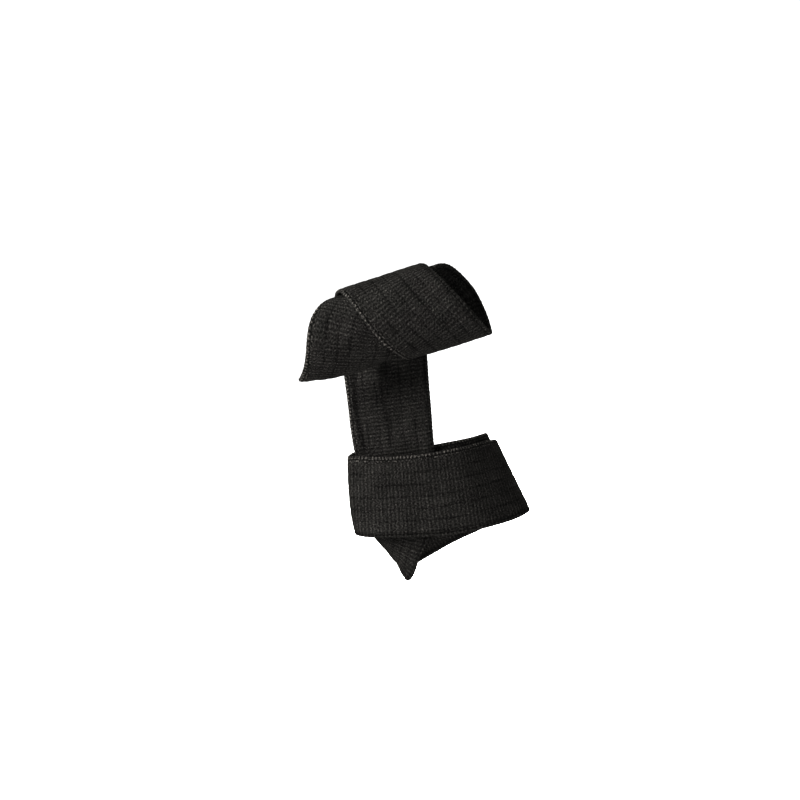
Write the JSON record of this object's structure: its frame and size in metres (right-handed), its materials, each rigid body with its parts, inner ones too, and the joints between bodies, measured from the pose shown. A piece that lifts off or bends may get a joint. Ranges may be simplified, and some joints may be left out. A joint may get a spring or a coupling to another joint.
{
  "type": "lifting wrist strap",
  "caption": "Loop-end lifting wrist strap of ribbed black webbing in its worn form: cinched round the wrist through its sewn end loop, run up the palm and wound round a bar.",
  "frame": {"origin": "centre of the wrist hollow, level with the turn round the back of the wrist", "axes": "+Z along the wrist toward the hand and the bar, -Y to the palm side, +X to the thumb side"},
  "size_m": [0.1021, 0.0814, 0.1441],
  "materials": {
    "webbing": "matte ribbed cotton webbing"
  },
  "bodies": {
    "root": {"wrist_loop": "webbing", "palm_strap": "webbing", "bar_wrap": "webbing"}
  },
  "joints": []
}
